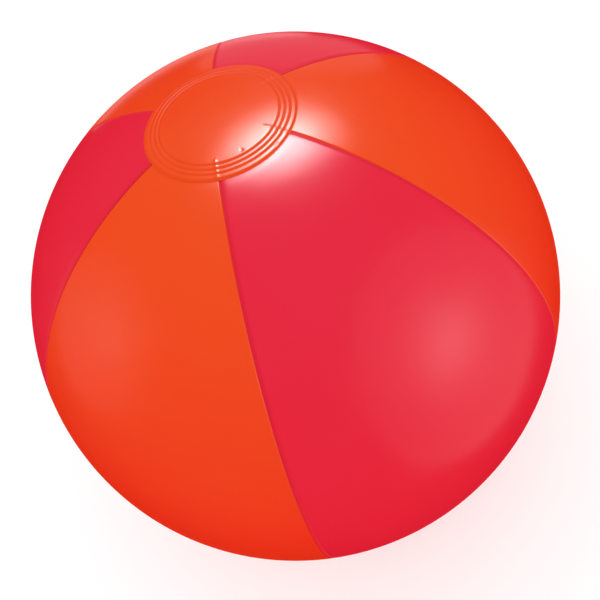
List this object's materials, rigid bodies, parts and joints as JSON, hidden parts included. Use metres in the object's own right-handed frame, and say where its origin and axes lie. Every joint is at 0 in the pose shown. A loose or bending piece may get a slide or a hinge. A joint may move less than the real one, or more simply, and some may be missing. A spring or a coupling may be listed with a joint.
{
  "type": "inflatable beach ball",
  "caption": "Inflatable beach ball of welded film gores in two colours, with round end discs at the poles and a push-in inflation valve with a tethered plug and a check flap.",
  "frame": {"origin": "centre of the ball", "axes": "+Z through the poles, where the end discs are; +Y outwards along the inflation valve's axis; a red gore faces -Y"},
  "size_m": [0.265, 0.2643, 0.2658],
  "materials": {
    "red_film": "glossy pink-red vinyl film",
    "orange_film": "glossy orange vinyl film",
    "disc_film": "glossy orange vinyl film with ring-shaped weld ribs",
    "valve_vinyl": "soft milky vinyl moulding"
  },
  "bodies": {
    "ball": {"panel_red_front": "red_film", "panel_orange_right": "orange_film", "panel_red_back_right": "red_film", "panel_orange_back": "orange_film", "panel_red_back_left": "red_film", "panel_orange_left": "orange_film", "end_disc_top": "disc_film", "end_disc_bottom": "disc_film", "valve_flange": "valve_vinyl", "valve_skirt": "valve_vinyl"},
    "valve": {"valve_stem": "valve_vinyl"},
    "plug": {"valve_plug": "valve_vinyl", "plug_strap": "valve_vinyl"},
    "flap": {"check_flap": "valve_vinyl"}
  },
  "joints": [
    {"name": "valve_slide", "type": "slide", "parent": "ball", "child": "valve", "axis": [0, 1, 0], "range_m": [0, 0.011], "deforming": ["valve_skirt"]},
    {"name": "plug_swing", "type": "hinge", "parent": "valve", "child": "plug", "pos_m": [0, 0.1295, 0.0079], "axis": [1, 0, 0], "range_deg": [0, 90], "deforming": ["plug_strap"]},
    {"name": "flap_open", "type": "hinge", "parent": "valve", "child": "flap", "pos_m": [0, 0.1132, 0.005], "axis": [-1, 0, 0], "range_deg": [0, 60], "stiffness_Nm_per_rad": 0.00002}
  ]
}
